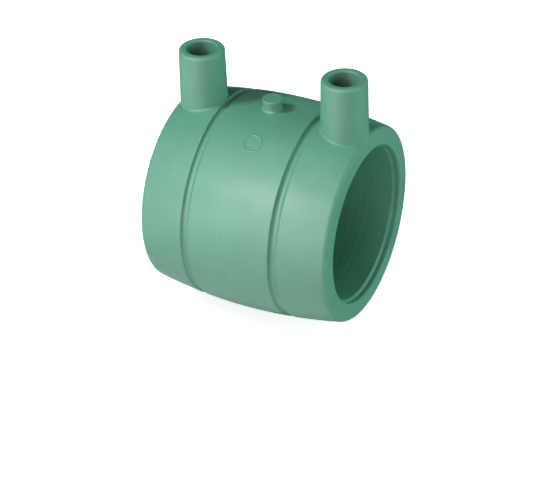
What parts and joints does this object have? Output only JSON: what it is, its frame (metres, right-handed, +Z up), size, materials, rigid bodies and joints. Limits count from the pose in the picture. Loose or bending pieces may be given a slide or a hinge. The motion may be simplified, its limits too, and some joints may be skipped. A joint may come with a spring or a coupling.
{
  "type": "electrofusion coupler",
  "caption": "Barrel-shaped plastic pipe coupler with a socket at each end, a heating wire sealed under its bore and two shrouded terminal pins standing on top.",
  "frame": {"origin": "on the bore's axis, in the middle of the pipe stop, half way between the two end faces", "axes": "+X along the bore towards the right-hand socket, +Z up along the two terminals"},
  "size_m": [0.052, 0.0564, 0.0695],
  "materials": {
    "body_plastic": "satin green polypropylene, moulded",
    "resistance_wire": "drawn copper-nickel resistance wire",
    "pin_metal": "turned brass, bright"
  },
  "bodies": {
    "root": {"coupler_body": "body_plastic", "heating_wire": "resistance_wire", "terminal_pin_left": "pin_metal", "terminal_pin_right": "pin_metal"}
  },
  "joints": []
}
